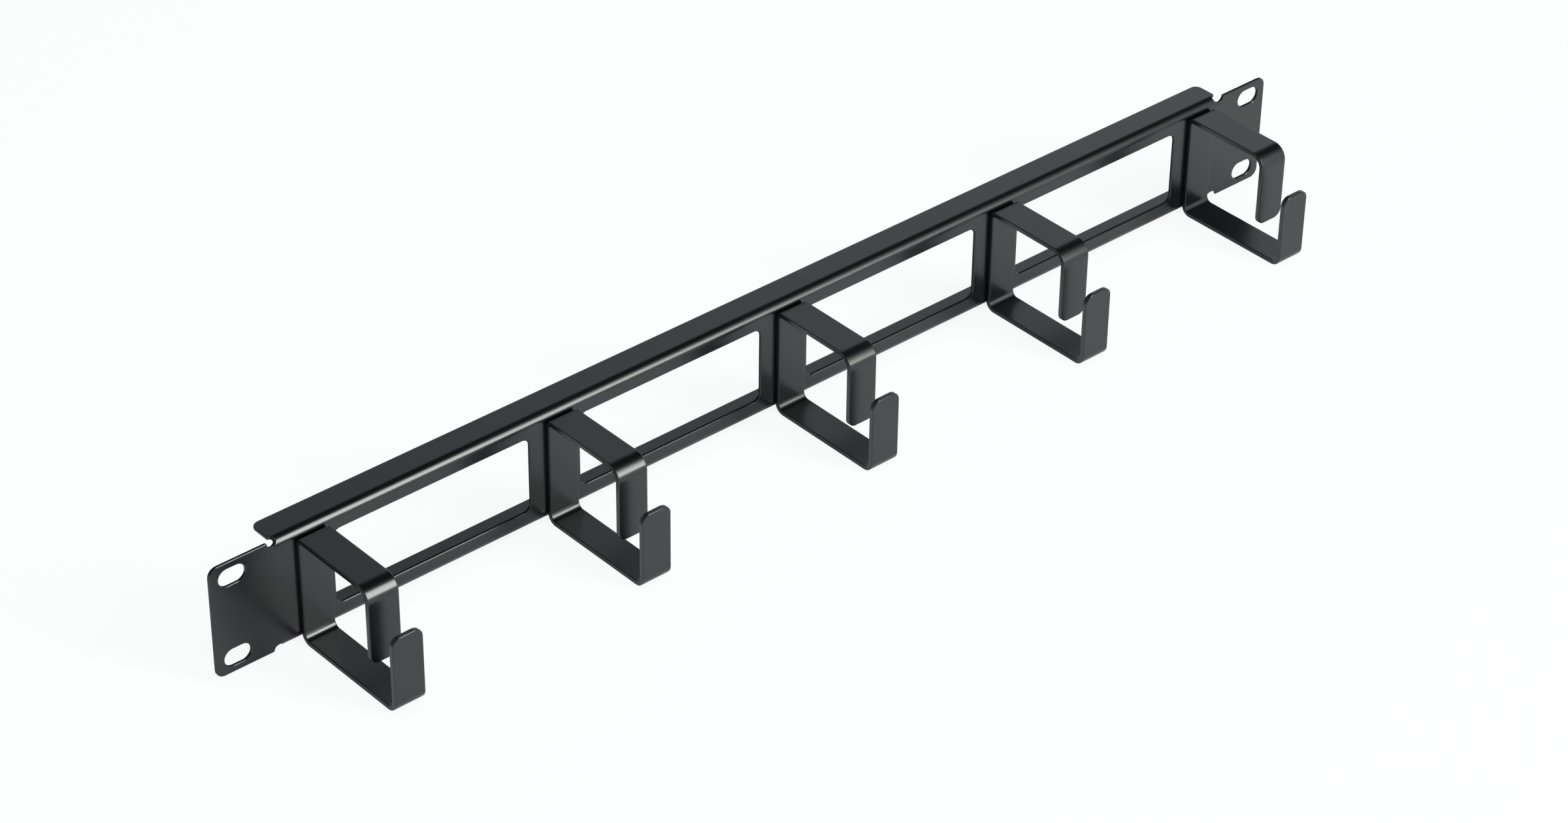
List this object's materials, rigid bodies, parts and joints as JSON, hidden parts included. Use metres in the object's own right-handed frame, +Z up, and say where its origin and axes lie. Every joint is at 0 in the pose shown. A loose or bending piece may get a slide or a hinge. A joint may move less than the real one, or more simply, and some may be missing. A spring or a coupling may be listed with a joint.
{
  "type": "horizontal cable manager",
  "caption": "Folded steel rack panel one unit high, with windows, rear flanges and open rectangular rings that hold patch cables in front of it.",
  "frame": {"origin": "the middle of the four mounting slots, on the rear face of the two ears", "axes": "+X along the panel towards its right end as seen from the front, +Y into the rack, +Z up; the rings stand out towards -Y"},
  "size_m": [0.4826, 0.0627, 0.0444],
  "materials": {
    "panel_coat": "satin black powder coat on folded sheet steel",
    "ring_coat": "satin black powder coat on bent strip steel"
  },
  "bodies": {
    "root": {"panel": "panel_coat", "ring_1": "ring_coat", "ring_2": "ring_coat", "ring_3": "ring_coat", "ring_4": "ring_coat", "ring_5": "ring_coat"}
  },
  "joints": []
}
